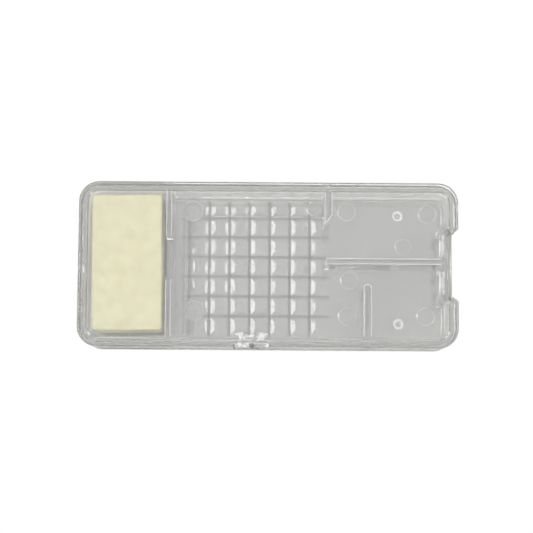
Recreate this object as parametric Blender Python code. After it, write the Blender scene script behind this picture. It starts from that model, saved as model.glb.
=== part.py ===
"""Clear moulded queen cage: a base tray, a clip-on lid, a block of candy and a pull-up exit shutter.

Frame: origin at the centre of the tray's underside, +X towards the exit end, +Y towards the plain long
side (the catch is on the -Y side), +Z up. All lengths are in metres.
"""

import math

import bmesh
import bpy
from mathutils import Matrix

MM = 0.001

# Driving dimensions of the closed box.
LENGTH = 81.5 * MM
WIDTH = 35.6 * MM
HEIGHT = 13.5 * MM
CORNER_RADIUS = 4.4 * MM
FLOOR_THICKNESS = 1.2 * MM
SKIRT_THICKNESS = 1.0 * MM
WALL_THICKNESS = 0.95 * MM
FIT_GAP = 0.12 * MM

# Heights of the levels between the tray and the lid.
SHOULDER_Z = 8.4 * MM
WALL_TOP_Z = 12.2 * MM
PARTITION_TOP_Z = WALL_TOP_Z - 0.09 * MM
LID_UNDERSIDE_Z = WALL_TOP_Z + FIT_GAP
LID_SHOULDER_Z = 12.9 * MM

# Distances in from the outline: to the lid skirt's inner face, the tray wall's outer face and the chamber.
SKIRT_INNER_INSET = SKIRT_THICKNESS
WALL_OUTER_INSET = SKIRT_THICKNESS + FIT_GAP
CHAMBER_INSET = WALL_OUTER_INSET + WALL_THICKNESS
CHAMBER_HALF_WIDTH = WIDTH / 2 - CHAMBER_INSET
CHAMBER_HALF_LENGTH = LENGTH / 2 - CHAMBER_INSET

# The partition between the candy and the bees, with the passage that lets them feed.
CANDY_WALL_X = (-22.0 * MM, -20.75 * MM)
CANDY_PASSAGE_Y = (-3.3 * MM, 5.8 * MM)
CANDY_PASSAGE_SILL_Z = 7.0 * MM

# The two exit tunnels: a long partition between them, a short wall and a rib that narrow their entries.
TUNNEL_WALL_X = (12.3 * MM, LENGTH / 2 - CHAMBER_INSET + 0.2 * MM)
TUNNEL_WALL_Y = (0.15 * MM, 1.5 * MM)
TUNNEL_GROOVE_WIDTH = 0.6 * MM
TUNNEL_GROOVE_DEPTH = 1.6 * MM
TUNNEL_GROOVE_SPANS_X = ((14.9, 24.2), (24.8, 33.5), (34.1, 36.9))
SHORT_WALL_X = (12.1 * MM, 13.75 * MM)
SHORT_WALL_TIP_Y = 8.9 * MM
SHORT_WALL_TIP_SLANT = 1.9 * MM
RIB_X = (20.4 * MM, 22.2 * MM)
EXCLUDER_GAP = 4.2 * MM

# The ventilation grid: raised square pads on the floor and one column of narrow ones. Grooves run between
# the columns on top and between the rows underneath, and where two cross they open into a small vent hole.
GRID_COLUMNS = 7
GRID_ROWS = 7
GRID_PITCH_X = 4.43 * MM
GRID_PITCH_Y = 4.38 * MM
GRID_FIRST_X = -15.23 * MM
GRID_MIDDLE_Y = 0.58 * MM
GRID_GAP = 0.68 * MM
NARROW_PAD_WIDTH = 1.05 * MM
PAD_HEIGHT = 0.24 * MM
PAD_SLOPE_WIDTH = 0.95 * MM
NARROW_PAD_HEIGHT = 0.105 * MM
NARROW_SLOPE_WIDTH = 0.42 * MM
VENT_GROOVE_WIDTH = GRID_GAP - 0.06 * MM
TOP_GROOVE_DEPTH = 0.6 * MM
UNDER_GROOVE_DEPTH = 0.7 * MM

# The exit end: a notch through the rim, a thin panel with an exit for each tunnel, and the shutter's
# groove.
NOTCH_Y = (-6.75 * MM, 6.95 * MM)
NOTCH_FACE_X = 39.3 * MM
NOTCH_CHAMFER = 1.05 * MM
NOTCH_ROUNDING = 0.9 * MM
PANEL_X = (37.1 * MM, 37.75 * MM)
PANEL_OVERHANG = 1.5 * MM
GROOVE_REACH = 0.8 * MM
GROOVE_WIDTH = 0.95 * MM
SHUTTER_X = (PANEL_X[1] + FIT_GAP, NOTCH_FACE_X)
SHUTTER_Z = (FLOOR_THICKNESS + FIT_GAP, WALL_TOP_Z)
TONGUE_THICKNESS = GROOVE_WIDTH - 2 * FIT_GAP
EXIT_WIDTH = 5.0 * MM
EXIT_HEIGHT = 7.5 * MM
EXIT_CENTRES_Y = (4.55 * MM, -3.55 * MM)
GRIP_GROOVES = 3
GRIP_GROOVE_PITCH = 1.1 * MM
GRIP_GROOVE_DEPTH = 0.25 * MM
GRIP_GROOVE_WIDTH = 0.45 * MM
GRIP_LENGTH = 6.0 * MM

# The round marks that the mould's ejector pins leave, a little proud of the floor, with a sloping rim.
# Where a pin stands on the ventilation grid, its mark is a solid disc that stands just above the pads.
PIN_MARK_Z = (FLOOR_THICKNESS - 0.2 * MM, FLOOR_THICKNESS + 0.11 * MM)
PIN_DISC_Z = (0.2 * MM, FLOOR_THICKNESS + PAD_HEIGHT + 0.11 * MM)
PIN_RIM_HEIGHT = 0.08 * MM
PIN_RIM_WIDTH = 0.31 * MM
FLOOR_PIN_MARKS = (
    (17.3, 13.0, 2.1),
    (35.2, 12.6, 2.1),
    (18.0, -2.3, 2.1),
    (17.5, -10.3, 2.1),
    (34.8, -10.2, 2.1),
    (29.8, 5.2, 1.9),
)
GRID_PIN_MARKS = ((-16.7, 13.0, 2.3), (-16.3, -9.2, 2.3), (9.93, 13.52, 1.5))

# The two bowls where the plastic entered the mould, each with the stub of its sprue in the middle.
GATE_BOWLS = ((28.6, 12.1), (28.8, -11.9))
GATE_BOWL_RADIUS = 1.2 * MM
GATE_BOWL_DEPTH = 0.62 * MM
GATE_BOWL_SEGMENTS = 26
GATE_BOWL_RINGS = 11  # odd, so that no ring of the sphere lies in the plane of the floor
GATE_STUB_RADIUS = 0.38 * MM
GATE_STUB_Z = (0.3 * MM, 0.95 * MM)

# The catch on the -Y side: two sprung fingers hanging in a window of the skirt.
CATCH_X = (-7.35 * MM, 0.5 * MM)
FINGER_GAP = 1.1 * MM
FINGER_SIDE_GAP = 0.25 * MM
FINGER_TIP_Z = 5.6 * MM
CATCH_RECESS_Z = 5.0 * MM
FINGER_THICKNESS = 1.0 * MM
RELIEF_DEPTH = 0.45 * MM
RELIEF_Y = (-16.3 * MM, -14.6 * MM)
RELIEF_CORNER_RADIUS = 0.7 * MM
FINGER_SLOT_DEPTH = 0.9 * MM

# The nib that locates the lid at the candy end, and the notch it sits in.
NIB_WIDTH = 1.4 * MM
NIB_CENTRE_Y = -1.2 * MM
NIB_DEPTH = 0.5 * MM
NIB_Z = (9.3 * MM, 11.0 * MM)

# The candy, cut square and pressed against the plain side.
CANDY_X = (-38.05 * MM, -22.6 * MM)
CANDY_Y = (-14.4 * MM, 15.2 * MM)
CANDY_BOTTOM_GAP = 0.3 * MM
CANDY_TOP_Z = 11.7 * MM
CANDY_CORNER_RADIUS = 1.1 * MM
CANDY_TURN = math.radians(0.6)

# Roundings of the moulded edges, and the slope of the thin walls.
OUTER_ROUNDING = 0.4 * MM
TOP_ROUNDING = 0.22 * MM
FLOOR_FILLET = 0.5 * MM
WALL_SPREAD = 0.14 * MM
INNER_CHAMFER = 0.25 * MM

CORNER_SEGMENTS = 12
SMALL_SEGMENTS = 6
PIN_SEGMENTS = 32
EDGE_SEGMENTS = 3
REACH = 2 * MM  # how far a cutter runs past the face it opens

parts = None
helpers = None


def clear_scene():
    for scene_object in list(bpy.data.objects):
        bpy.data.objects.remove(scene_object, do_unlink=True)


def make_collections():
    global parts, helpers
    parts = bpy.data.collections.new("queen_cage")
    helpers = bpy.data.collections.new("cutters")
    bpy.context.scene.collection.children.link(parts)
    bpy.context.scene.collection.children.link(helpers)


def object_from(bm, name, collection):
    """Writes a bmesh to a new object, whose origin becomes the middle of its box."""
    bmesh.ops.recalc_face_normals(bm, faces=bm.faces)
    lows = [min(v.co[axis] for v in bm.verts) for axis in range(3)]
    highs = [max(v.co[axis] for v in bm.verts) for axis in range(3)]
    middle = [(low + high) / 2 for low, high in zip(lows, highs)]
    bmesh.ops.translate(bm, verts=bm.verts, vec=[-value for value in middle])
    mesh = bpy.data.meshes.new(name)
    bm.to_mesh(mesh)
    bm.free()
    new_object = bpy.data.objects.new(name, mesh)
    new_object.location = middle
    collection.objects.link(new_object)
    if collection is helpers:
        new_object.hide_render = True
        new_object.display_type = "WIRE"
    return new_object


def add_box(bm, x_range, y_range, z_range):
    """Adds a cube primitive, stretched to the three ranges. Returns its vertices."""
    sizes = [high - low for low, high in (x_range, y_range, z_range)]
    middles = [(low + high) / 2 for low, high in (x_range, y_range, z_range)]
    placed = Matrix.Translation(middles) @ Matrix.Diagonal((*sizes, 1))
    return bmesh.ops.create_cube(bm, size=1, matrix=placed)["verts"]


def upright_edges(verts):
    edges = {edge for vert in verts for edge in vert.link_edges}
    return [edge for edge in edges if abs(edge.verts[0].co.z - edge.verts[1].co.z) > 1e-7]


def round_edges(bm, edges, radius, segments):
    bmesh.ops.bevel(
        bm, geom=edges, offset=radius, segments=segments, profile=0.5, affect="EDGES", clamp_overlap=False
    )


def round_rim(bm, radius, at_top):
    """Rounds the edges of the block's top or bottom face."""
    side = 1 if at_top else -1
    rim_face = max(bm.faces, key=lambda face: face.normal.z * side)
    round_edges(bm, list(rim_face.edges), radius, EDGE_SEGMENTS)


def box(name, x_range, y_range, z_range, collection=None):
    bm = bmesh.new()
    add_box(bm, x_range, y_range, z_range)
    return object_from(bm, name, collection or helpers)


def rounded_box(
    name,
    x_range,
    y_range,
    z_range,
    radius,
    segments=CORNER_SEGMENTS,
    top_rounding=0.0,
    bottom_rounding=0.0,
    collection=None,
):
    """A box whose four upright edges are rounded, and its top and bottom rims too if asked."""
    bm = bmesh.new()
    verts = add_box(bm, x_range, y_range, z_range)
    round_edges(bm, upright_edges(verts), radius, segments)
    bm.normal_update()
    if top_rounding:
        round_rim(bm, top_rounding, at_top=True)
    if bottom_rounding:
        round_rim(bm, bottom_rounding, at_top=False)
    return object_from(bm, name, collection or helpers)


def outline_block(name, inset, z_range, top_rounding=0.0, bottom_rounding=0.0, collection=None):
    """The box's rounded outline, drawn in by inset all round, between two heights."""
    half_length = LENGTH / 2 - inset
    half_width = WIDTH / 2 - inset
    return rounded_box(
        name,
        (-half_length, half_length),
        (-half_width, half_width),
        z_range,
        max(CORNER_RADIUS - inset, 1.6 * MM),
        top_rounding=top_rounding,
        bottom_rounding=bottom_rounding,
        collection=collection,
    )


def moulded_wall(name, x_range, y_range, end_radius=0.0):
    """A wall from the floor up to the lid, a little wider at its foot, with a rounded top."""
    bm = bmesh.new()
    verts = add_box(bm, x_range, y_range, (FLOOR_THICKNESS / 2, PARTITION_TOP_Z))
    widen([vert for vert in verts if vert.co.z < FLOOR_THICKNESS], WALL_SPREAD)
    if end_radius:
        round_edges(bm, upright_edges(verts), end_radius, SMALL_SEGMENTS)
    bm.normal_update()
    round_rim(bm, TOP_ROUNDING, at_top=True)
    return object_from(bm, name, helpers)


def boolean(target, other, operation):
    modifier = target.modifiers.new(f"{operation.lower()} {other.name}", "BOOLEAN")
    modifier.operation = operation
    modifier.solver = "EXACT"
    modifier.object = other


def cut(target, cutter):
    boolean(target, cutter, "DIFFERENCE")


def join(target, other):
    boolean(target, other, "UNION")


def widen(verts, amount):
    """Moves the corners of a block's face outwards from their middle by amount in X and in Y."""
    middle_x = sum(v.co.x for v in verts) / len(verts)
    middle_y = sum(v.co.y for v in verts) / len(verts)
    for vert in verts:
        vert.co.x += amount * math.copysign(1, vert.co.x - middle_x)
        vert.co.y += amount * math.copysign(1, vert.co.y - middle_y)


def add_pad(bm, centre_x, centre_y, width, slope_width, height):
    """Adds one raised pad of the grid, whose four sides slope, to a mesh that is joined to the floor."""
    sunk = 0.1 * MM
    half_x = width / 2
    half_y = (GRID_PITCH_Y - GRID_GAP) / 2
    verts = add_box(
        bm,
        (centre_x - half_x, centre_x + half_x),
        (centre_y - half_y, centre_y + half_y),
        (FLOOR_THICKNESS - sunk, FLOOR_THICKNESS + height),
    )
    widen([vert for vert in verts if vert.co.z > FLOOR_THICKNESS], -slope_width)
    widen([vert for vert in verts if vert.co.z < FLOOR_THICKNESS], slope_width * sunk / height)


def grid_pads():
    """All the pads of the ventilation grid in one mesh."""
    bm = bmesh.new()
    pad_width = GRID_PITCH_X - GRID_GAP
    narrow_x = GRID_FIRST_X - pad_width / 2 - GRID_GAP - NARROW_PAD_WIDTH / 2
    for row in range(GRID_ROWS):
        centre_y = GRID_MIDDLE_Y + (row - (GRID_ROWS - 1) / 2) * GRID_PITCH_Y
        add_pad(bm, narrow_x, centre_y, NARROW_PAD_WIDTH, NARROW_SLOPE_WIDTH, NARROW_PAD_HEIGHT)
        for column in range(GRID_COLUMNS):
            centre_x = GRID_FIRST_X + column * GRID_PITCH_X
            add_pad(bm, centre_x, centre_y, pad_width, PAD_SLOPE_WIDTH, PAD_HEIGHT)
    return object_from(bm, "grid_pads", helpers)


def vent_grooves():
    """The grooves between the pads' columns on top, and between their rows underneath, in one mesh each."""
    top = bmesh.new()
    half_groove = VENT_GROOVE_WIDTH / 2
    front_y = GRID_MIDDLE_Y - GRID_ROWS * GRID_PITCH_Y / 2
    back_y = CHAMBER_HALF_WIDTH - 1.3 * FLOOR_FILLET
    for column in range(GRID_COLUMNS):
        x = GRID_FIRST_X + (column - 0.5) * GRID_PITCH_X
        groove_z = (FLOOR_THICKNESS - TOP_GROOVE_DEPTH, FLOOR_THICKNESS + REACH)
        add_box(top, (x - half_groove, x + half_groove), (front_y, back_y), groove_z)
    under = bmesh.new()
    x_range = (GRID_FIRST_X - 0.9 * GRID_PITCH_X, GRID_FIRST_X + (GRID_COLUMNS - 0.5) * GRID_PITCH_X)
    for row in range(GRID_ROWS - 1):
        y = GRID_MIDDLE_Y + (row + 1 - GRID_ROWS / 2) * GRID_PITCH_Y
        add_box(under, x_range, (y - half_groove, y + half_groove), (-REACH, UNDER_GROOVE_DEPTH))
    return object_from(top, "top_grooves", helpers), object_from(under, "under_grooves", helpers)


def add_ventilation_grid(tray):
    join(tray, grid_pads())
    for grooves in vent_grooves():
        cut(tray, grooves)


def round_block(name, centre_x, centre_y, radius, z_range, rim_width, rim_height):
    """An upright cylinder between two heights, whose top rim slopes inwards."""
    bm = bmesh.new()
    shank_top = z_range[1] - rim_height
    placed = Matrix.Translation((centre_x, centre_y, (z_range[0] + shank_top) / 2))
    bmesh.ops.create_cone(
        bm,
        cap_ends=True,
        segments=PIN_SEGMENTS,
        radius1=radius,
        radius2=radius,
        depth=shank_top - z_range[0],
        matrix=placed,
    )
    cap = max(bm.faces, key=lambda face: face.calc_center_median().z)
    raised = bmesh.ops.extrude_discrete_faces(bm, faces=[cap])["faces"][0]
    for vert in raised.verts:
        vert.co.x += (centre_x - vert.co.x) * rim_width / radius
        vert.co.y += (centre_y - vert.co.y) * rim_width / radius
        vert.co.z = z_range[1]
    return object_from(bm, name, helpers)


def add_pin_marks(tray):
    marks = [(mark, PIN_MARK_Z) for mark in FLOOR_PIN_MARKS]
    marks += [(mark, PIN_DISC_Z) for mark in GRID_PIN_MARKS]
    for number, ((x, y, radius), z_range) in enumerate(marks):
        name = f"pin_mark_{number}"
        mark = round_block(name, x * MM, y * MM, radius * MM, z_range, PIN_RIM_WIDTH, PIN_RIM_HEIGHT)
        join(tray, mark)


def add_gate_bowls(tray):
    """Two round bowls in the floor, each cut by a flattened sphere, with a stub standing in it."""
    for number, (x, y) in enumerate(GATE_BOWLS):
        bm = bmesh.new()
        placed = Matrix.Translation((x * MM, y * MM, FLOOR_THICKNESS)) @ Matrix.Diagonal(
            (GATE_BOWL_RADIUS, GATE_BOWL_RADIUS, GATE_BOWL_DEPTH, 1)
        )
        bmesh.ops.create_uvsphere(
            bm, u_segments=GATE_BOWL_SEGMENTS, v_segments=GATE_BOWL_RINGS, radius=1, matrix=placed
        )
        cut(tray, object_from(bm, f"gate_bowl_{number}", helpers))
        name = f"gate_stub_{number}"
        rim = GATE_STUB_RADIUS / 3
        join(tray, round_block(name, x * MM, y * MM, GATE_STUB_RADIUS, GATE_STUB_Z, rim, rim))


def short_wall():
    """The wall beside the bees' chamber, whose free end is cut slantwise on the exit side."""
    bm = bmesh.new()
    y_range = (SHORT_WALL_TIP_Y, CHAMBER_HALF_WIDTH + WALL_THICKNESS / 2)
    verts = add_box(bm, SHORT_WALL_X, y_range, (FLOOR_THICKNESS / 2, PARTITION_TOP_Z))
    widen([vert for vert in verts if vert.co.z < FLOOR_THICKNESS], WALL_SPREAD)
    middle_x = sum(SHORT_WALL_X) / 2
    for vert in verts:
        if vert.co.x > middle_x and vert.co.y < CHAMBER_HALF_WIDTH:
            vert.co.y += SHORT_WALL_TIP_SLANT
    bm.normal_update()
    round_rim(bm, TOP_ROUNDING, at_top=True)
    return object_from(bm, "short_wall", helpers)


def add_partitions(tray):
    half_width = CHAMBER_HALF_WIDTH + WALL_THICKNESS / 2
    join(tray, moulded_wall("candy_wall", CANDY_WALL_X, (-half_width, half_width)))
    passage_x = (CANDY_WALL_X[0] - REACH, CANDY_WALL_X[1] + REACH)
    cut(tray, box("candy_passage", passage_x, CANDY_PASSAGE_Y, (CANDY_PASSAGE_SILL_Z, HEIGHT)))
    join(tray, moulded_wall("tunnel_wall", TUNNEL_WALL_X, TUNNEL_WALL_Y, end_radius=0.4 * MM))
    join(tray, short_wall())
    rib_y = (-half_width, TUNNEL_WALL_Y[0] - EXCLUDER_GAP)
    join(tray, moulded_wall("tunnel_rib", RIB_X, rib_y, end_radius=(RIB_X[1] - RIB_X[0]) * 0.49))
    groove_middle = sum(TUNNEL_WALL_Y) / 2
    groove_y = (groove_middle - TUNNEL_GROOVE_WIDTH / 2, groove_middle + TUNNEL_GROOVE_WIDTH / 2)
    for number, (start, end) in enumerate(TUNNEL_GROOVE_SPANS_X):
        groove_z = (PARTITION_TOP_Z - TUNNEL_GROOVE_DEPTH, HEIGHT)
        cut(tray, box(f"tunnel_groove_{number}", (start * MM, end * MM), groove_y, groove_z))


def add_exit_end(tray):
    """The notch, the panel that holds both exits, and the groove that the shutter runs in."""
    panel_y = (NOTCH_Y[0] - PANEL_OVERHANG, NOTCH_Y[1] + PANEL_OVERHANG)
    panel_x = (PANEL_X[0], CHAMBER_HALF_LENGTH + WALL_THICKNESS / 2)
    join(tray, box("exit_panel", panel_x, panel_y, (FLOOR_THICKNESS / 2, PARTITION_TOP_Z)))
    cut(tray, notch_cutter("tray_notch", NOTCH_FACE_X))
    groove_y = (NOTCH_Y[0] - GROOVE_REACH, NOTCH_Y[1] + GROOVE_REACH)
    groove_x = (PANEL_X[1], PANEL_X[1] + GROOVE_WIDTH)
    cut(tray, box("shutter_groove", groove_x, groove_y, (FLOOR_THICKNESS, HEIGHT)))
    cut(tray, box("shutter_front", (PANEL_X[1], LENGTH), NOTCH_Y, (FLOOR_THICKNESS, HEIGHT)))
    for number, centre_y in enumerate(EXIT_CENTRES_Y):
        cut(tray, exit_cutter(number, centre_y))


def notch_cutter(name, face_x):
    """The notch's full height, from face_x outwards, with a mouth that opens at 45 degrees.

    The corner on the catch side is rounded as well.
    """
    bm = bmesh.new()
    full_height = (-REACH, HEIGHT + REACH)
    mouth_x = LENGTH / 2 - NOTCH_CHAMFER
    add_box(bm, (face_x, mouth_x), NOTCH_Y, full_height)
    mouth = max(bm.faces, key=lambda face: face.calc_center_median().x)
    extruded = bmesh.ops.extrude_discrete_faces(bm, faces=[mouth])["faces"][0]
    middle_y = sum(NOTCH_Y) / 2
    for vert in extruded.verts:
        vert.co.x += NOTCH_CHAMFER + REACH
        vert.co.y += math.copysign(NOTCH_CHAMFER + REACH, vert.co.y - middle_y)
    front_corner = [
        edge
        for edge in upright_edges(bm.verts)
        if abs(edge.verts[0].co.x - mouth_x) < 1e-7 and edge.verts[0].co.y < middle_y
    ]
    round_edges(bm, front_corner, NOTCH_ROUNDING, SMALL_SEGMENTS)
    return object_from(bm, name, helpers)


def exit_cutter(number, centre_y):
    """One exit: a doorway from the floor up, with rounded upper corners."""
    bm = bmesh.new()
    sill_z = FLOOR_THICKNESS + 0.3 * MM
    y_range = (centre_y - EXIT_WIDTH / 2, centre_y + EXIT_WIDTH / 2)
    add_box(bm, (PANEL_X[0] - REACH / 4, PANEL_X[1] + REACH / 8), y_range, (sill_z, sill_z + EXIT_HEIGHT))
    upper_edges = [
        edge
        for edge in bm.edges
        if min(v.co.z for v in edge.verts) > sill_z + EXIT_HEIGHT / 2
        and abs(edge.verts[0].co.y - edge.verts[1].co.y) < 1e-7
    ]
    round_edges(bm, upper_edges, 1.5 * MM, SMALL_SEGMENTS)
    return object_from(bm, f"exit_{number}", helpers)


def add_catch_recess(tray):
    """The pocket in the tray's lower wall where the lid's two fingers hang."""
    recess_x = (CATCH_X[0] - FINGER_SIDE_GAP / 2, CATCH_X[1] + FINGER_SIDE_GAP / 2)
    recess_y = (-WIDTH / 2 - REACH, -WIDTH / 2 + WALL_OUTER_INSET)
    cut(tray, box("catch_recess", recess_x, recess_y, (CATCH_RECESS_Z, SHOULDER_Z + REACH)))


def add_nib_notch(tray):
    wall_face_x = -LENGTH / 2 + WALL_OUTER_INSET
    clearance = 2 * FIT_GAP
    y_range = (NIB_CENTRE_Y - NIB_WIDTH / 2 - clearance, NIB_CENTRE_Y + NIB_WIDTH / 2 + clearance)
    x_range = (wall_face_x - REACH, wall_face_x + NIB_DEPTH)
    cut(tray, box("nib_notch", x_range, y_range, (SHOULDER_Z + 0.3 * MM, HEIGHT)))


def chamber_mouth():
    """The chamfer round the chamber's top edge: a block like the chamber that flares upwards."""
    chamfer_z = (WALL_TOP_Z - INNER_CHAMFER, WALL_TOP_Z + INNER_CHAMFER)
    mouth = outline_block("chamber_mouth", CHAMBER_INSET, chamfer_z)
    for vert in mouth.data.vertices:
        if vert.co.z > 0:
            vert.co.x *= 1 + 2 * INNER_CHAMFER / CHAMBER_HALF_LENGTH
            vert.co.y *= 1 + 2 * INNER_CHAMFER / CHAMBER_HALF_WIDTH
    return mouth


def build_base_tray():
    tray = outline_block(
        "base_tray",
        0,
        (0, SHOULDER_Z),
        top_rounding=TOP_ROUNDING,
        bottom_rounding=OUTER_ROUNDING,
        collection=parts,
    )
    wall_z = (FLOOR_THICKNESS / 2, WALL_TOP_Z)
    join(tray, outline_block("upper_wall", WALL_OUTER_INSET, wall_z, top_rounding=TOP_ROUNDING))
    chamber_z = (FLOOR_THICKNESS, HEIGHT)
    cut(tray, outline_block("chamber", CHAMBER_INSET, chamber_z, bottom_rounding=FLOOR_FILLET))
    cut(tray, chamber_mouth())
    add_ventilation_grid(tray)
    add_pin_marks(tray)
    add_gate_bowls(tray)
    add_partitions(tray)
    add_exit_end(tray)
    add_catch_recess(tray)
    add_nib_notch(tray)
    return tray


def add_lid_notch(lid):
    """Clears the lid from the exit notch and from the shutter's way up."""
    plate_edge_x = PANEL_X[1] - FIT_GAP
    whole_height = (0, HEIGHT + REACH)
    cut(lid, notch_cutter("lid_notch", plate_edge_x))
    slot_y = (NOTCH_Y[0] - GROOVE_REACH, NOTCH_Y[1] + GROOVE_REACH)
    slot_x = (plate_edge_x, PANEL_X[1] + GROOVE_WIDTH + FIT_GAP)
    cut(lid, box("lid_shutter_slot", slot_x, slot_y, whole_height))


def add_catch_fingers(lid):
    """Two sprung fingers that hang from the lid's shoulder inside a window of the skirt."""
    skirt_inner_y = -WIDTH / 2 + SKIRT_INNER_INSET
    window_y = (-WIDTH / 2 - REACH, skirt_inner_y + FIT_GAP / 2)
    cut(lid, box("catch_window", CATCH_X, window_y, (0, LID_UNDERSIDE_Z - 0.2 * MM)))
    middle_x = sum(CATCH_X) / 2
    finger_y = (-WIDTH / 2 + 0.1 * MM, -WIDTH / 2 + 0.1 * MM + FINGER_THICKNESS)
    finger_z = (FINGER_TIP_Z, LID_SHOULDER_Z - 0.1 * MM)
    spans = (
        (CATCH_X[0] + FINGER_SIDE_GAP, middle_x - FINGER_GAP / 2),
        (middle_x + FINGER_GAP / 2, CATCH_X[1] - FINGER_SIDE_GAP),
    )
    relief_z = (HEIGHT - RELIEF_DEPTH, HEIGHT + REACH)
    for number, span in enumerate(spans):
        join(lid, box(f"catch_finger_{number}", span, finger_y, finger_z))
        name = f"finger_relief_{number}"
        cut(lid, rounded_box(name, span, RELIEF_Y, relief_z, RELIEF_CORNER_RADIUS, SMALL_SEGMENTS))
    slots = (
        (CATCH_X[0], CATCH_X[0] + FINGER_SIDE_GAP),
        (middle_x - FINGER_GAP / 2, middle_x + FINGER_GAP / 2),
        (CATCH_X[1] - FINGER_SIDE_GAP, CATCH_X[1]),
    )
    slot_y = (-WIDTH / 2 - REACH, -WIDTH / 2 + FINGER_SLOT_DEPTH)
    for number, slot_x in enumerate(slots):
        cut(lid, box(f"finger_slot_{number}", slot_x, slot_y, (0, HEIGHT + REACH)))


def build_lid():
    lid = outline_block(
        "lid",
        0,
        (SHOULDER_Z + FIT_GAP, LID_SHOULDER_Z),
        top_rounding=OUTER_ROUNDING,
        bottom_rounding=TOP_ROUNDING,
        collection=parts,
    )
    panel_z = (LID_UNDERSIDE_Z + 0.1 * MM, HEIGHT)
    join(lid, outline_block("raised_panel", SKIRT_INNER_INSET, panel_z, top_rounding=TOP_ROUNDING))
    cut(lid, outline_block("skirt_inside", SKIRT_INNER_INSET, (0, LID_UNDERSIDE_Z)))
    add_lid_notch(lid)
    add_catch_fingers(lid)
    skirt_face_x = -LENGTH / 2 + SKIRT_INNER_INSET
    nib_x = (skirt_face_x - 0.3 * MM, skirt_face_x + NIB_DEPTH)
    nib_y = (NIB_CENTRE_Y - NIB_WIDTH / 2, NIB_CENTRE_Y + NIB_WIDTH / 2)
    join(lid, box("lid_nib", nib_x, nib_y, NIB_Z))
    return lid


def build_exit_shutter():
    """A plate with a thin tongue down each side for the grooves, and grip grooves for a fingernail."""
    tongue_x = (SHUTTER_X[0], SHUTTER_X[0] + TONGUE_THICKNESS)
    tongue_reach = GROOVE_REACH - FIT_GAP
    tongue_y = (NOTCH_Y[0] - tongue_reach, NOTCH_Y[1] + tongue_reach)
    shutter = box("exit_shutter", tongue_x, tongue_y, SHUTTER_Z, collection=parts)
    plate_y = (NOTCH_Y[0] + FIT_GAP, NOTCH_Y[1] - FIT_GAP)
    plate_x = (sum(tongue_x) / 2, SHUTTER_X[1])
    plate_z = (SHUTTER_Z[0], SHUTTER_Z[1] + FIT_GAP)
    plate = rounded_box(
        "shutter_plate",
        plate_x,
        plate_y,
        plate_z,
        1.5 * TOP_ROUNDING,
        EDGE_SEGMENTS,
        top_rounding=TOP_ROUNDING,
    )
    join(shutter, plate)
    middle_y = sum(NOTCH_Y) / 2
    grip_y = (middle_y - GRIP_LENGTH / 2, middle_y + GRIP_LENGTH / 2)
    grip_x = (SHUTTER_X[1] - GRIP_GROOVE_DEPTH, SHUTTER_X[1] + REACH)
    for number in range(GRIP_GROOVES):
        top_z = SHUTTER_Z[1] - (number + 1) * GRIP_GROOVE_PITCH
        cut(shutter, box(f"grip_groove_{number}", grip_x, grip_y, (top_z - GRIP_GROOVE_WIDTH, top_z)))
    return shutter


def build_candy_block():
    """The candy, which lies a little askew in its compartment."""
    candy = rounded_box(
        "candy_block",
        CANDY_X,
        CANDY_Y,
        (FLOOR_THICKNESS + CANDY_BOTTOM_GAP, CANDY_TOP_Z),
        CANDY_CORNER_RADIUS,
        SMALL_SEGMENTS,
        top_rounding=OUTER_ROUNDING,
        collection=parts,
    )
    candy.rotation_euler.z = CANDY_TURN
    return candy


def material(name, colour, roughness, alpha=1.0, transmission=0.0):
    new_material = bpy.data.materials.new(name)
    new_material.use_nodes = True
    shader = new_material.node_tree.nodes["Principled BSDF"]
    shader.inputs["Base Color"].default_value = (*colour, 1)
    shader.inputs["Roughness"].default_value = roughness
    shader.inputs["Metallic"].default_value = 0
    shader.inputs["Alpha"].default_value = alpha
    shader.inputs["Transmission Weight"].default_value = transmission
    return new_material


def paint(part, part_material):
    part.data.materials.clear()
    part.data.materials.append(part_material)
    part.data.shade_smooth()
    part.data.set_sharp_from_angle(angle=math.radians(25))


def main():
    clear_scene()
    make_collections()
    clear_plastic = material("clear_polystyrene", (0.93, 0.94, 0.92), 0.06, alpha=0.35, transmission=0.9)
    candy = material("candy_paste", (0.88, 0.86, 0.72), 0.75)
    paint(build_base_tray(), clear_plastic)
    paint(build_lid(), clear_plastic)
    paint(build_exit_shutter(), clear_plastic)
    paint(build_candy_block(), candy)


main()
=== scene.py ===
"""The looks of the clear queen cage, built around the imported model."""

import math

import bmesh
import bpy
from mathutils import Matrix, Vector, noise


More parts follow.
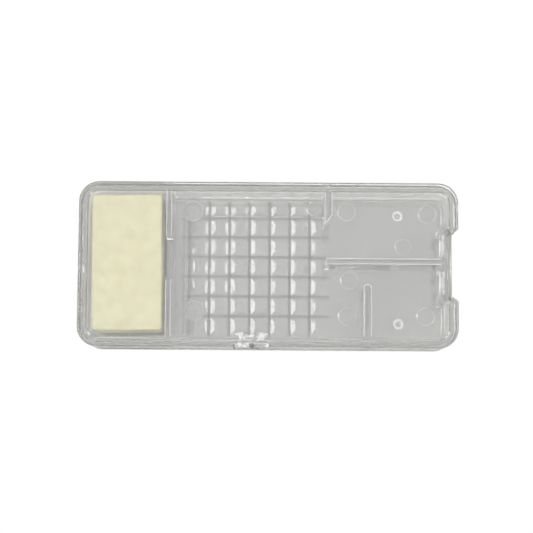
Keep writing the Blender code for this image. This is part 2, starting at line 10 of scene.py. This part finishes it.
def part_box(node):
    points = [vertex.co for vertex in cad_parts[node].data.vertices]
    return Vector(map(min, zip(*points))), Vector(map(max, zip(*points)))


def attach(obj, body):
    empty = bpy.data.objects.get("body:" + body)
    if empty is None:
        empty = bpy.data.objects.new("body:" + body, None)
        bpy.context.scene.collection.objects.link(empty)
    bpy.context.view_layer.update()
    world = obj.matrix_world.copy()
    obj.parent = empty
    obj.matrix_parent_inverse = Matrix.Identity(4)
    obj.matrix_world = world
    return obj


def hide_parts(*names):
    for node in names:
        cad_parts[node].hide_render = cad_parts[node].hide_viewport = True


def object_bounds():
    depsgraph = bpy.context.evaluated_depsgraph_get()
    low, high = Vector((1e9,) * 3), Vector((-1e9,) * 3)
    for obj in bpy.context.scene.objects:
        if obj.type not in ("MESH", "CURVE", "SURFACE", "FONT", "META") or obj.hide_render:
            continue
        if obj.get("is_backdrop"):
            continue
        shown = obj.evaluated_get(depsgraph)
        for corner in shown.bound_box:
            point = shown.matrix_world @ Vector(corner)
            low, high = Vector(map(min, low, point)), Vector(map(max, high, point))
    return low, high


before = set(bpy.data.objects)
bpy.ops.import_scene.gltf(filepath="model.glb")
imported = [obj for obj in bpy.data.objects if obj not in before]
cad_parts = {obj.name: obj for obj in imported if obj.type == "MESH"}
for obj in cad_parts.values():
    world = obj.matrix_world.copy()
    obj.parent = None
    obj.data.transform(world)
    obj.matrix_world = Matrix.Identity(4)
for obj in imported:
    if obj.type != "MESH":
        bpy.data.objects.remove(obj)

CAD_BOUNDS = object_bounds()
MM = 0.001

# Shading of the mouldings: how far apart two CAD points may be to count as one, how little two faces may
# turn to count as one flat face, and the least angle that shows as an edge. Between two strips of a rounded
# edge, which are narrow, it takes a larger angle.
WELD_DISTANCE = 0.002 * MM
FLAT_ANGLE = math.radians(0.4)
SHARP_ANGLE = math.radians(11.8)
STRIP_SHARP_ANGLE = math.radians(42)
STRIP_WIDTH = 0.27 * MM

# Clear polystyrene: its surface, how strongly its body absorbs light, per metre, and the colour it spares.
CLEAR_COLOUR = (0.99, 0.99, 0.983)
REFRACTIVE_INDEX = 1.59
DEPTH_OF_GREY = 10.0
SPARED_COLOUR = (0.10, 0.08, 0.0)

# The share of light scattered as painted highlights by the partitions' edges, by the rims of the floor's
# marks and by the gate bowls' sides, and by the bent catch fingers, where it varies from place to place.
EDGE_HIGHLIGHT_MILKINESS = 0.5
MARK_HIGHLIGHT_MILKINESS = 0.2
BOWL_HIGHLIGHT_MILKINESS = 0.75
CATCH_MILKINESS = 0.2
CATCH_PATCHINESS = 0.14

# Where these finishes lie: how far inside the outline they start, below which heights the marks and the
# bowls are, how level a bowl's face has to be to stay clear, and how low and how far in the catch reaches.
INSIDE_INSET = 2.4 * MM
MARKS_BELOW = 3.0 * MM
BOWLS_BELOW = 1.19 * MM
CLEAR_BOWL_LEVELNESS = 0.93
CATCH_HANGS_BELOW = 8.0 * MM
CATCH_REACHES_IN = 3.3 * MM

# The grooves of the ventilation grid: where the grid ends, between which heights the grooves' floors and
# ceilings lie, which faces count as level and upright, and how far their colour is darkened as painted
# shade.
GRID_END_X = 12.5 * MM
GROOVE_FACES_Z = (0.4 * MM, 1.0 * MM)
LEVEL_FROM = 0.9
UPRIGHT_UP_TO = 0.1
TOP_GROOVE_PAINTED_SHADE = 0.68
UNDER_GROOVE_PAINTED_SHADE = 0.62
GROOVE_SIDE_PAINTED_SHADE = 0.45

# The candy: how askew it lies, how round its upright corners and its top and bottom edges are, and how fine
# its mesh is.
CANDY_TURN = math.radians(0.6)
CANDY_ROUNDING = 1.05 * MM
CANDY_EDGE = 0.4 * MM
CANDY_CELL = 0.42 * MM

# How uneven the candy is: how much its edges vary, and how deep and how far apart its hollows, lumps and
# pits are.
CANDY_EDGE_VARIATION = 0.5
CANDY_EDGE_SPACING = 9 * MM
CANDY_HOLLOW_DEPTH = 0.10 * MM
CANDY_HOLLOW_SPACING = 6 * MM
CANDY_LUMP_DEPTH = 0.05 * MM
CANDY_LUMP_SPACING = 1.6 * MM
CANDY_PIT_DEPTH = 0.5 * MM
CANDY_PIT_SPACING = 0.9 * MM
CANDY_PIT_RARITY = 0.45

# The candy's colours: damp and dry paste, its pale bloom and its darker specks.
CANDY_DAMP = (0.515, 0.48, 0.265)
CANDY_DRY = (0.645, 0.62, 0.42)
CANDY_BLOOM = (0.575, 0.54, 0.325)
CANDY_SPECK = (0.47, 0.43, 0.27)

# The camera looks down on the middle of the lid, a few degrees from the catch side. Its focal length is in
# the same units as the picture's side.
CAMERA_ELEVATION = math.radians(84.0)
CAMERA_DISTANCE = 0.320
CAMERA_ROLL = math.radians(0.4)
CAMERA_TARGET_SHIFT = (-0.38 * MM, -0.55 * MM)
PICTURE_SIDE = 533
FOCAL_LENGTH = 1500
FIELD_OF_VIEW = 2 * math.atan(0.5 * PICTURE_SIDE / FOCAL_LENGTH)

# Paths of light through many layers of clear plastic.
LIGHT_BOUNCES = 32

# The card under the object, and the darker card colour painted into its reflections in the object's sides,
# as painted shade.
CARD_COLOUR = (0.86, 0.86, 0.85)
CARD_PAINTED_DARK_IN_REFLECTIONS = (0.36, 0.36, 0.35)

# The room's brightness at the horizon and overhead, and the lamp, whose direction makes the left slopes of
# the grid's pads shine.
HORIZON_BRIGHTNESS = 0.73
CEILING_BRIGHTNESS = 2.2
LAMP_DIRECTION = (-0.467, 0.105, 0.878)
LAMP_DISTANCE = 0.9
LAMP_SIZE = 0.25
LAMP_POWER = 1.6


# ---------------------------------------------------------------- node helpers


def new_material(name):
    """An empty material: its node tree holds only an output and a Principled shader."""
    made = bpy.data.materials.new(name)
    made.use_nodes = True
    return made, made.node_tree, made.node_tree.nodes["Principled BSDF"]


def add_node(tree, kind, **settings):
    made = tree.nodes.new(kind)
    for key, value in settings.items():
        if key in made.inputs:
            made.inputs[key].default_value = value
        else:
            setattr(made, key, value)
    return made


def noise_texture(tree, scale, detail=3.0, roughness=0.5):
    """Noise in object coordinates, so that its size is in metres."""
    place = add_node(tree, "ShaderNodeTexCoord")
    texture = add_node(tree, "ShaderNodeTexNoise", Scale=scale, Detail=detail, Roughness=roughness)
    tree.links.new(place.outputs["Object"], texture.inputs["Vector"])
    return texture.outputs["Fac"]


def remap(tree, value, low, high, from_low=0.3, from_high=0.7):
    made = add_node(tree, "ShaderNodeMapRange")
    made.inputs["From Min"].default_value = from_low
    made.inputs["From Max"].default_value = from_high
    made.inputs["To Min"].default_value = low
    made.inputs["To Max"].default_value = high
    tree.links.new(value, made.inputs["Value"])
    return made.outputs["Result"]


def mix_colours(tree, factor, first, second):
    made = add_node(tree, "ShaderNodeMix", data_type="RGBA")
    tree.links.new(factor, made.inputs["Factor"])
    for socket, colour in (("A", first), ("B", second)):
        target = next(s for s in made.inputs if s.name == socket and s.type == "RGBA")
        if isinstance(colour, tuple):
            target.default_value = (*colour, 1)
        else:
            tree.links.new(colour, target)
    return next(s for s in made.outputs if s.type == "RGBA")


def bump(tree, height, strength, distance, previous=None):
    made = add_node(tree, "ShaderNodeBump", Strength=strength, Distance=distance)
    tree.links.new(height, made.inputs["Height"])
    if previous is not None:
        tree.links.new(previous, made.inputs["Normal"])
    return made.outputs["Normal"]


def clear_polystyrene(name, milkiness=0.0, patchiness=0.0, tint=1.0):
    """Polished, clear moulding with a faint haze and a few scuffs, greyer where there is more of it.

    Milkiness is the share of light that the surface scatters instead of letting it through, as painted
    highlights on edges, mark rims and gate bowls and as whitening at the catch, and patchiness is how far
    that share varies up and down from place to place. Tint darkens the surface, as painted shade in the
    grid's grooves.
    """
    material, tree, shader = new_material(name)
    shader.inputs["Base Color"].default_value = (*(tint * part for part in CLEAR_COLOUR), 1)
    shader.inputs["IOR"].default_value = REFRACTIVE_INDEX
    clearness = 1 - milkiness
    patches = noise_texture(tree, 900, detail=2)
    weight = remap(tree, patches, clearness - patchiness, clearness + patchiness, 0.4, 0.6)
    tree.links.new(weight, shader.inputs["Transmission Weight"])
    haze = noise_texture(tree, 260, detail=4)
    scuffs = noise_texture(tree, 1400, detail=2, roughness=0.7)
    worn = add_node(tree, "ShaderNodeMath", operation="ADD")
    tree.links.new(remap(tree, haze, 0.005, 0.03), worn.inputs[0])
    tree.links.new(remap(tree, scuffs, 0, 0.05, 0.64, 0.76), worn.inputs[1])
    tree.links.new(worn.outputs["Value"], shader.inputs["Roughness"])
    depth = add_node(tree, "ShaderNodeVolumeAbsorption", Density=DEPTH_OF_GREY)
    depth.inputs["Color"].default_value = (*SPARED_COLOUR, 1)
    tree.links.new(depth.outputs["Volume"], tree.nodes["Material Output"].inputs["Volume"])
    return material


def candy_paste():
    """Kneaded sugar paste: pale cream with a paler bloom, darker damp specks and a fine sugary grain."""
    material, tree, shader = new_material("candy_paste")
    mottle = noise_texture(tree, 420, detail=5, roughness=0.65)
    body = mix_colours(tree, remap(tree, mottle, 0, 1), CANDY_DAMP, CANDY_DRY)
    cloud = noise_texture(tree, 95, detail=3)
    clouded = mix_colours(tree, remap(tree, cloud, 0, 0.5), body, CANDY_BLOOM)
    specks = noise_texture(tree, 1500, detail=2)
    speckled = mix_colours(tree, remap(tree, specks, 0, 0.45, 0.62, 0.72), clouded, CANDY_SPECK)
    tree.links.new(speckled, shader.inputs["Base Color"])
    tree.links.new(remap(tree, mottle, 0.6, 0.85), shader.inputs["Roughness"])
    shader.inputs["Subsurface Weight"].default_value = 0.15
    shader.inputs["Subsurface Radius"].default_value = (1.0, 0.8, 0.4)
    shader.inputs["Subsurface Scale"].default_value = 0.6 * MM
    grain = noise_texture(tree, 2600, detail=3)
    lumps = bump(tree, mottle, 0.25, 0.00025)
    tree.links.new(bump(tree, grain, 0.35, 0.00008, lumps), shader.inputs["Normal"])
    return material


# ---------------------------------------------------------------- moulded parts


def flat_regions(bm):
    """For each triangle, the area and the mean width of the flat face that it belongs to."""
    region_of = {}
    for seed in bm.faces:
        if seed in region_of:
            continue
        region = {seed}
        waiting = [seed]
        rim = 0.0
        while waiting:
            face = waiting.pop()
            for edge in face.edges:
                if len(edge.link_faces) != 2 or edge.calc_face_angle() > FLAT_ANGLE:
                    rim += edge.calc_length()
                    continue
                for neighbour in edge.link_faces:
                    if neighbour not in region:
                        region.add(neighbour)
                        waiting.append(neighbour)
        area = sum(face.calc_area() for face in region)
        for face in region:
            region_of[face] = (area, 2 * area / rim)
    return region_of


def is_smooth(edge, region_of):
    if len(edge.link_faces) != 2:
        return False
    widest = max(region_of[face][1] for face in edge.link_faces)
    limit = STRIP_SHARP_ANGLE if widest < STRIP_WIDTH else SHARP_ANGLE
    return edge.calc_face_angle() < limit


def smooth_fans(vert, smooth_edges):
    """The faces round a point, in groups that no sharp edge divides."""
    waiting = set(vert.link_faces)
    while waiting:
        fan = {waiting.pop()}
        front = list(fan)
        while front:
            face = front.pop()
            for edge in face.edges:
                if vert not in edge.verts or edge not in smooth_edges:
                    continue
                for neighbour in edge.link_faces:
                    if neighbour in waiting:
                        waiting.remove(neighbour)
                        fan.add(neighbour)
                        front.append(neighbour)
        yield fan


def moulded_normals(bm, region_of):
    """One normal per face corner: large flat faces stay flat, and fine roundings shade smoothly."""
    smooth_edges = {edge for edge in bm.edges if is_smooth(edge, region_of)}
    normal_at = {}
    for vert in bm.verts:
        for fan in smooth_fans(vert, smooth_edges):
            largest = max(region_of[face][0] for face in fan)
            total = Vector((0, 0, 0))
            for face in fan:
                total += face.normal * (region_of[face][0] / largest) ** 2
            for face in fan:
                normal_at[face.index, vert.index] = total.normalized()
    return [normal_at[face.index, vert.index] for face in bm.faces for vert in face.verts]


def catch_faces(bm):
    """The faces of the sprung fingers, which hang lowest in the lid, and of the lid just behind them."""
    low_xs = [vert.co.x for vert in bm.verts if vert.co.z < CATCH_HANGS_BELOW]
    back_y = CAD_BOUNDS[0][1] + CATCH_REACHES_IN
    found = []
    for face in bm.faces:
        middle = face.calc_center_median()
        if min(low_xs) < middle.x < max(low_xs) and middle.y < back_y:
            found.append(face)
    return found


def is_inside(point):
    """Whether a point is inside the box, clear of its outer wall."""
    low, high = CAD_BOUNDS
    return all(low[a] + INSIDE_INSET < point[a] < high[a] - INSIDE_INSET for a in range(2))


def groove_shade_finish(face):
    """The painted-shade finish of a floor, ceiling or side of the grid's grooves, or None elsewhere."""
    middle = face.calc_center_median()
    if middle.x < GRID_END_X and middle.z < GROOVE_FACES_Z[1]:
        if is_inside(middle) and abs(face.normal.z) < UPRIGHT_UP_TO:
            return "groove_side"
        if middle.z > GROOVE_FACES_Z[0] and face.normal.z > LEVEL_FROM:
            return "top_groove"
        if middle.z > GROOVE_FACES_Z[0] and face.normal.z < -LEVEL_FROM:
            return "under_groove"
    return None


def highlight_finish(face, width):
    """The painted-highlight finish of a partition's edge, a mark in the floor or a gate bowl's side, or
    None elsewhere.
    """
    middle = face.calc_center_median()
    if not is_inside(middle):
        return None
    if middle.z < BOWLS_BELOW:
        in_bowl = middle.x > GRID_END_X and abs(face.normal.z) < CLEAR_BOWL_LEVELNESS
        return "gate_bowl" if in_bowl else None
    if width >= STRIP_WIDTH:
        return None
    return "floor_mark" if middle.z < MARKS_BELOW else "highlit_edge"


def finish_faces(bm, node, region_of):
    """Gives each face its finish: clear, with painted highlights at the edges, marks and gate bowls, white
    at the catch, and with painted shade in the grooves.
    """
    finish_of = {face: "clear" for face in bm.faces}
    if node == "base_tray":
        for face in bm.faces:
            finish_of[face] = highlight_finish(face, region_of[face][1]) or groove_shade_finish(face) or "clear"
    if node == "lid":
        for face in catch_faces(bm):
            finish_of[face] = "stressed_catch"
    numbers = {finish: number for number, finish in enumerate(FINISHES)}
    for face, finish in finish_of.items():
        face.material_index = numbers[finish]


def polished_copy(node, body):
    """The CAD node's own shape, welded and shaded as one polished moulding."""
    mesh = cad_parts[node].data.copy()
    bm = bmesh.new()
    bm.from_mesh(mesh)
    bmesh.ops.remove_doubles(bm, verts=bm.verts, dist=WELD_DISTANCE)
    bmesh.ops.recalc_face_normals(bm, faces=bm.faces)
    bm.verts.index_update()
    bm.faces.index_update()
    region_of = flat_regions(bm)
    normals = moulded_normals(bm, region_of)
    finish_faces(bm, node, region_of)
    mesh.materials.clear()
    for finish in FINISHES.values():
        mesh.materials.append(finish)
    bm.to_mesh(mesh)
    bm.free()
    mesh.shade_smooth()
    mesh.normals_split_custom_set(normals)
    piece = bpy.data.objects.new(f"{node}_moulding", mesh)
    bpy.context.scene.collection.objects.link(piece)
    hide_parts(node)
    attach(piece, body)
    return piece


# ---------------------------------------------------------------- candy


def unturned_size(low, high, angle):
    """The sides of a block that, turned by angle, fills the box from low to high."""
    spread = high - low
    cosine, sine = math.cos(angle), math.sin(angle)
    divisor = cosine * cosine - sine * sine
    length = (spread.x * cosine - spread.y * sine) / divisor
    width = (spread.y * cosine - spread.x * sine) / divisor
    return Vector((length, width, spread.z))


def gridded_box(size, cell):
    """A box whose six sides are divided into cells of about the given size."""
    bm = bmesh.new()
    bmesh.ops.create_cube(bm, size=1)
    for axis in range(3):
        along = [e for e in bm.edges if abs(e.verts[0].co[axis] - e.verts[1].co[axis]) > 0.5]
        cuts = round(size[axis] / cell) - 1
        bmesh.ops.subdivide_edges(bm, edges=along, cuts=cuts, use_grid_fill=True)
    for vert in bm.verts:
        vert.co = Vector([vert.co[axis] * size[axis] for axis in range(3)])
    return bm


def worn_candy_point(point, size):
    """Moves a point of the plain block on to the kneaded, hand-cut one, never outwards."""
    half = size / 2
    place = point * (1 / CANDY_EDGE_SPACING) + Vector((3.1, 7.7, 1.9))
    unevenness = 1.0 + CANDY_EDGE_VARIATION * noise.noise(place)
    corner = CANDY_ROUNDING * unevenness
    core = Vector([max(-half[a] + corner, min(half[a] - corner, point[a])) for a in range(2)])
    away = point.xy - core
    if away.length > 0:
        point.xy = core + away.normalized() * min(corner, away.length)
    edge = CANDY_EDGE * unevenness
    rise = max(0.0, abs(point.z) - (half.z - edge)) / edge
    inset = edge * (1 - math.sqrt(1 - min(rise, 1.0) ** 2))
    point.x *= 1 - inset / half.x
    point.y *= 1 - inset / half.y
    hollows = CANDY_HOLLOW_DEPTH * (1 + noise.noise(point * (1 / CANDY_HOLLOW_SPACING)))
    lumps = CANDY_LUMP_DEPTH * (1 + noise.noise(point * (1 / CANDY_LUMP_SPACING) + Vector((5, 2, 8))))
    pitting = noise.noise(point * (1 / CANDY_PIT_SPACING) + Vector((1, 9, 4)))
    pits = max(0.0, pitting - CANDY_PIT_RARITY) * CANDY_PIT_DEPTH
    inward = Vector([-point[a] / half[a] for a in range(3)])
    strongest = max(range(3), key=lambda a: abs(inward[a]))
    push = Vector((0, 0, 0))
    push[strongest] = math.copysign(hollows + lumps + pits, inward[strongest])
    return point + push


def add_candy():
    low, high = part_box("candy_block")
    size = unturned_size(low, high, CANDY_TURN)
    bm = gridded_box(size, CANDY_CELL)
    for vert in bm.verts:
        vert.co = worn_candy_point(vert.co.copy(), size)
    bm.transform(Matrix.Translation((low + high) / 2) @ Matrix.Rotation(CANDY_TURN, 4, "Z"))
    bmesh.ops.recalc_face_normals(bm, faces=bm.faces)
    mesh = bpy.data.meshes.new("candy_paste_block")
    bm.to_mesh(mesh)
    bm.free()
    mesh.materials.append(candy_paste())
    mesh.shade_smooth()
    piece = bpy.data.objects.new("candy_paste_block", mesh)
    bpy.context.scene.collection.objects.link(piece)
    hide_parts("candy_block")
    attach(piece, "tray")


FINISHES = {
    "clear": clear_polystyrene("clear_polystyrene"),
    # Painted highlights: whiter partition edges, floor-mark rims and gate bowl sides.
    "highlit_edge": clear_polystyrene("polystyrene_edge_painted_highlight", milkiness=EDGE_HIGHLIGHT_MILKINESS),
    "floor_mark": clear_polystyrene("polystyrene_floor_mark_painted_highlight", milkiness=MARK_HIGHLIGHT_MILKINESS),
    "gate_bowl": clear_polystyrene("polystyrene_gate_bowl_painted_highlight", milkiness=BOWL_HIGHLIGHT_MILKINESS),
    "stressed_catch": clear_polystyrene("whitened_polystyrene", CATCH_MILKINESS, CATCH_PATCHINESS),
    # Painted shade: darker floors, ceilings and sides of the grid's grooves.
    "top_groove": clear_polystyrene("polystyrene_top_groove_painted_shade", tint=TOP_GROOVE_PAINTED_SHADE),
    "under_groove": clear_polystyrene("polystyrene_under_groove_painted_shade", tint=UNDER_GROOVE_PAINTED_SHADE),
    "groove_side": clear_polystyrene("polystyrene_groove_side_painted_shade", tint=GROOVE_SIDE_PAINTED_SHADE),
}
polished_copy("base_tray", "tray")
polished_copy("lid", "lid")
polished_copy("exit_shutter", "shutter")
add_candy()


# ---------------------------------------------------------------- stage


def add_floor():
    """A sheet of pale card. Seen directly it is exposed to plain white, as in a studio cut-out."""
    bpy.ops.mesh.primitive_plane_add(size=4, location=(0, 0, -0.05 * MM))
    floor = bpy.context.object
    floor.name = "floor"
    material, tree, shader = new_material("pale_floor")
    shader.inputs["Roughness"].default_value = 0.8
    paths = add_node(tree, "ShaderNodeLightPath")
    # The card is painted darker where the plastic reflects it, as painted shade in the reflections.
    card = mix_colours(tree, paths.outputs["Is Glossy Ray"], CARD_COLOUR, CARD_PAINTED_DARK_IN_REFLECTIONS)
    tree.links.new(card, shader.inputs["Base Color"])
    paper_white = add_node(tree, "ShaderNodeEmission", Strength=1.0)
    seen_directly = paths.outputs["Is Camera Ray"]
    mixed = add_node(tree, "ShaderNodeMixShader")
    tree.links.new(seen_directly, mixed.inputs["Fac"])
    tree.links.new(shader.outputs["BSDF"], mixed.inputs[1])
    tree.links.new(paper_white.outputs["Emission"], mixed.inputs[2])
    tree.links.new(mixed.outputs["Shader"], tree.nodes["Material Output"].inputs["Surface"])
    floor.data.materials.append(material)
    floor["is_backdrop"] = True


def add_light(name, direction, distance, size, power):
    """A square softbox that faces the object from the given direction and shows in its gloss only."""
    light = bpy.data.lights.new(name, "AREA")
    light.shape = "SQUARE"
    light.size = size
    light.energy = power
    holder = bpy.data.objects.new(name, light)
    holder.visible_diffuse = False
    away = Vector(direction).normalized()
    holder.location = away * distance
    holder.rotation_euler = away.to_track_quat("Z", "Y").to_euler()
    bpy.context.scene.collection.objects.link(holder)


def add_world(horizon, ceiling):
    """A pale room, whose brightness rises from the horizon to the ceiling."""
    world = bpy.data.worlds.new("studio")
    world.use_nodes = True
    tree = world.node_tree
    background = tree.nodes["Background"]
    background.inputs["Color"].default_value = (1, 1, 1, 1)
    direction = add_node(tree, "ShaderNodeTexCoord").outputs["Generated"]
    height = add_node(tree, "ShaderNodeSeparateXYZ")
    tree.links.new(direction, height.inputs["Vector"])
    strength = remap(tree, height.outputs["Z"], horizon, ceiling, 0.0, 0.65)
    tree.links.new(strength, background.inputs["Strength"])
    bpy.context.scene.world = world


def add_camera():
    data = bpy.data.cameras.new("camera")
    data.angle = FIELD_OF_VIEW
    data.clip_start = 0.01
    camera = bpy.data.objects.new("camera", data)
    top_z = CAD_BOUNDS[1][2]
    target = Vector((*CAMERA_TARGET_SHIFT, top_z))
    back = Vector((0, -math.cos(CAMERA_ELEVATION), math.sin(CAMERA_ELEVATION)))
    aim = back.to_track_quat("Z", "Y").to_matrix().to_4x4()
    camera.matrix_world = (
        Matrix.Translation(target + back * CAMERA_DISTANCE) @ aim @ Matrix.Rotation(CAMERA_ROLL, 4, "Z")
    )
    bpy.context.scene.collection.objects.link(camera)
    bpy.context.scene.camera = camera


def set_light_paths():
    scene = bpy.context.scene
    scene.cycles.max_bounces = LIGHT_BOUNCES
    scene.cycles.transmission_bounces = LIGHT_BOUNCES
    scene.cycles.glossy_bounces = LIGHT_BOUNCES // 2
    scene.view_settings.view_transform = "Standard"


add_floor()
add_world(HORIZON_BRIGHTNESS, CEILING_BRIGHTNESS)
add_light("side_window", LAMP_DIRECTION, LAMP_DISTANCE, LAMP_SIZE, LAMP_POWER)
add_camera()
set_light_paths()

boxes = [[list(corner) for corner in bounds] for bounds in (CAD_BOUNDS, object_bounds())]
